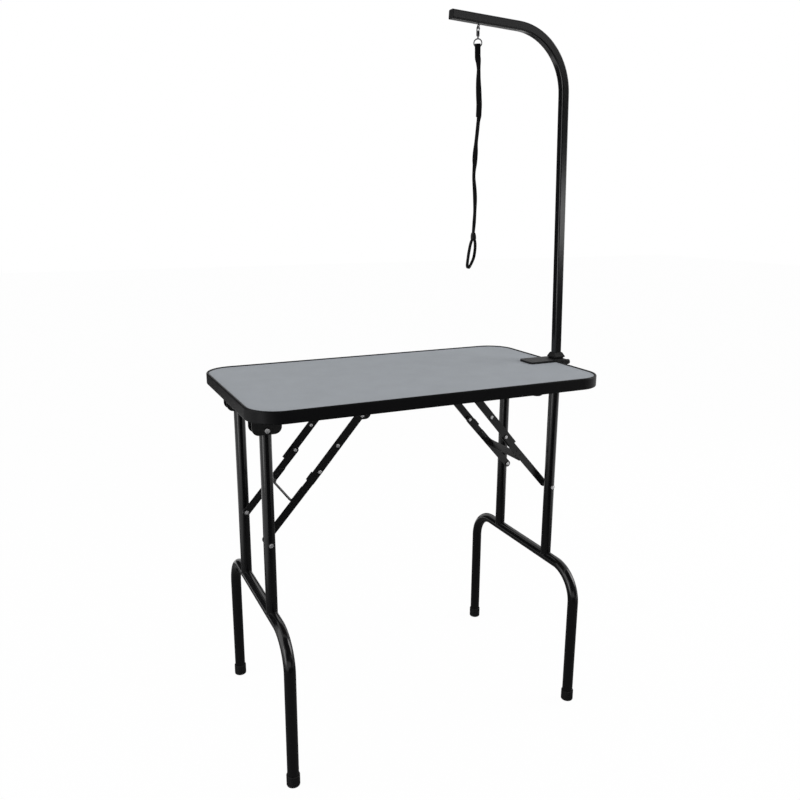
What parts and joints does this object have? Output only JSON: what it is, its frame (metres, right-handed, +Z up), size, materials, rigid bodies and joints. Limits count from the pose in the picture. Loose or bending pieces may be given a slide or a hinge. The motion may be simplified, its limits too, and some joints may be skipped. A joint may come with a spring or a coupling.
{
  "type": "folding pet grooming table with arm and leash",
  "caption": "Folding grooming table with a matted top, tube leg frames on folding braces, a clamped square arm and a hanging noose leash.",
  "frame": {"origin": "on the floor under the middle of the whole object without the leash, from the left end of the top to the end of the arm knob", "axes": "+X along the top towards the arm, +Y across the top away from the viewer, +Z up"},
  "size_m": [0.876, 0.479, 1.5928],
  "materials": {
    "black_paint": "gloss",
    "board_wood": "matte",
    "mat_rubber": "matte, fine grain",
    "trim_rubber": "satin",
    "foot_rubber": "matte",
    "rivet_steel": "bright zinc",
    "bright_steel": "polished",
    "black_plastic": "moulded",
    "webbing": "woven nylon"
  },
  "bodies": {
    "table": {"board": "board_wood", "mat": "mat_rubber", "edge_trim": "trim_rubber", "leg_bracket_left_front": "black_paint", "leg_bracket_left_rear": "black_paint", "leg_bracket_right_front": "black_paint", "leg_bracket_right_rear": "black_paint", "brace_bracket_left_front": "black_paint", "brace_bracket_left_rear": "black_paint", "brace_bracket_right_front": "black_paint", "brace_bracket_right_rear": "black_paint", "bracket_screws": "rivet_steel", "leg_pivot_rivets": "rivet_steel", "brace_pivot_rivets": "rivet_steel", "clamp_plate": "black_paint", "clamp_jaw": "black_paint", "arm_socket": "black_paint", "socket_bush": "black_plastic"},
    "left_frame": {"left_u_tube": "black_paint", "left_front_upright": "black_paint", "left_rear_upright": "black_paint", "left_front_foot": "foot_rubber", "left_rear_foot": "foot_rubber", "left_leg_rivets": "rivet_steel"},
    "left_front_upper": {"left_front_upper_link": "black_paint", "left_front_link_rivet": "rivet_steel"},
    "left_rear_upper": {"left_rear_upper_link": "black_paint", "left_rear_link_rivet": "rivet_steel"},
    "left_lower": {"left_front_lower_link": "black_paint", "left_rear_lower_link": "black_paint", "left_spreader": "black_paint", "left_brace_rivets": "rivet_steel"},
    "right_frame": {"right_u_tube": "black_paint", "right_front_upright": "black_paint", "right_rear_upright": "black_paint", "right_front_foot": "foot_rubber", "right_rear_foot": "foot_rubber", "right_leg_rivets": "rivet_steel"},
    "right_front_upper": {"right_front_upper_link": "black_paint", "right_front_link_rivet": "rivet_steel"},
    "right_rear_upper": {"right_rear_upper_link": "black_paint", "right_rear_link_rivet": "rivet_steel"},
    "right_lower": {"right_front_lower_link": "black_paint", "right_rear_lower_link": "black_paint", "right_spreader": "black_paint", "right_brace_rivets": "rivet_steel"},
    "pad": {"clamp_pad": "trim_rubber"},
    "screw": {"clamp_screw": "black_plastic"},
    "knob": {"arm_knob": "black_plastic"},
    "arm_post": {"arm": "black_paint", "arm_tip_cap": "black_plastic", "arm_foot_cap": "black_plastic", "arm_eye": "bright_steel"},
    "snap": {"snap_hook": "bright_steel"},
    "bolt": {"snap_bolt": "bright_steel"},
    "leash": {"swivel_eye": "bright_steel", "leash_head": "webbing", "leash_strap": "webbing", "leash_slider": "black_plastic", "leash_loop": "webbing"}
  },
  "joints": [
    {"name": "left_fold", "type": "hinge", "parent": "table", "child": "left_frame", "pos_m": [-0.38125, 0, 0.751], "axis": [0, -1, 0], "range_deg": [0, 88.8]},
    {"name": "left_front_upper_turn", "type": "hinge", "parent": "table", "child": "left_front_upper", "pos_m": [-0.16275, -0.0876, 0.751], "axis": [0, 1, 0], "range_deg": [-0.01, 46.78]},
    {"name": "left_rear_upper_turn", "type": "hinge", "parent": "table", "child": "left_rear_upper", "pos_m": [-0.16275, 0.0876, 0.751], "axis": [0, 1, 0], "range_deg": [-0.01, 46.78]},
    {"name": "left_knee", "type": "hinge", "parent": "left_front_upper", "child": "left_lower", "pos_m": [-0.26073, 0, 0.63685], "axis": [0, -1, 0], "range_deg": [-0.01, 178.96]},
    {"name": "right_fold", "type": "hinge", "parent": "table", "child": "right_frame", "pos_m": [0.32775, 0, 0.771], "axis": [0, 1, 0], "range_deg": [0, 90]},
    {"name": "right_front_upper_turn", "type": "hinge", "parent": "table", "child": "right_front_upper", "pos_m": [0.10925, -0.0876, 0.771], "axis": [0, -1, 0], "range_deg": [-0.01, 42.2]},
    {"name": "right_rear_upper_turn", "type": "hinge", "parent": "table", "child": "right_rear_upper", "pos_m": [0.10925, 0.0876, 0.771], "axis": [0, -1, 0], "range_deg": [-0.01, 42.2]},
    {"name": "right_knee", "type": "hinge", "parent": "right_front_upper", "child": "right_lower", "pos_m": [0.20723, 0, 0.65685], "axis": [0, 1, 0], "range_deg": [-0.01, 179.83]},
    {"name": "pad_lower", "type": "slide", "parent": "table", "child": "pad", "axis": [0, 0, -1], "range_m": [0, 0.012]},
    {"name": "screw_turn", "type": "hinge", "parent": "pad", "child": "screw", "pos_m": [0.34425, -0.013, 0.76], "axis": [0, 0, -1], "range_deg": [-1, 2161]},
    {"name": "knob_turn", "type": "hinge", "parent": "table", "child": "knob", "pos_m": [0.398, -0.013, 0.807], "axis": [0.9996, 0, 0.029], "range_deg": [0, 720]},
    {"name": "arm_height", "type": "slide", "parent": "table", "child": "arm_post", "axis": [-0.029, 0, 0.9996], "range_m": [-0.2, 0.035]},
    {"name": "leash_swing", "type": "hinge", "parent": "arm_post", "child": "snap", "pos_m": [0.14621, -0.013, 1.56177], "axis": [0, 1, 0], "range_deg": [-20, 60]},
    {"name": "leash_swivel", "type": "hinge", "parent": "snap", "child": "leash", "pos_m": [0.14621, -0.013, 1.54577], "axis": [0, 0, 1], "continuous": true},
    {"name": "bolt_pull", "type": "slide", "parent": "snap", "child": "bolt", "axis": [0, 0, -1], "range_m": [0, 0.0035], "stiffness_N_per_m": 150, "springref_m": -0.003}
  ],
  "couplings": [
    {"joint": "left_front_upper_turn", "follows": "left_fold", "ratio": 0.52674},
    {"joint": "left_rear_upper_turn", "follows": "left_fold", "ratio": 0.52674},
    {"joint": "left_knee", "follows": "left_fold", "ratio": 2.0152},
    {"joint": "right_front_upper_turn", "follows": "right_fold", "ratio": 0.46876},
    {"joint": "right_rear_upper_turn", "follows": "right_fold", "ratio": 0.46876},
    {"joint": "right_knee", "follows": "right_fold", "ratio": 1.998},
    {"joint": "screw_turn", "follows": "pad_lower", "rad_per_m": 3141.6}
  ]
}
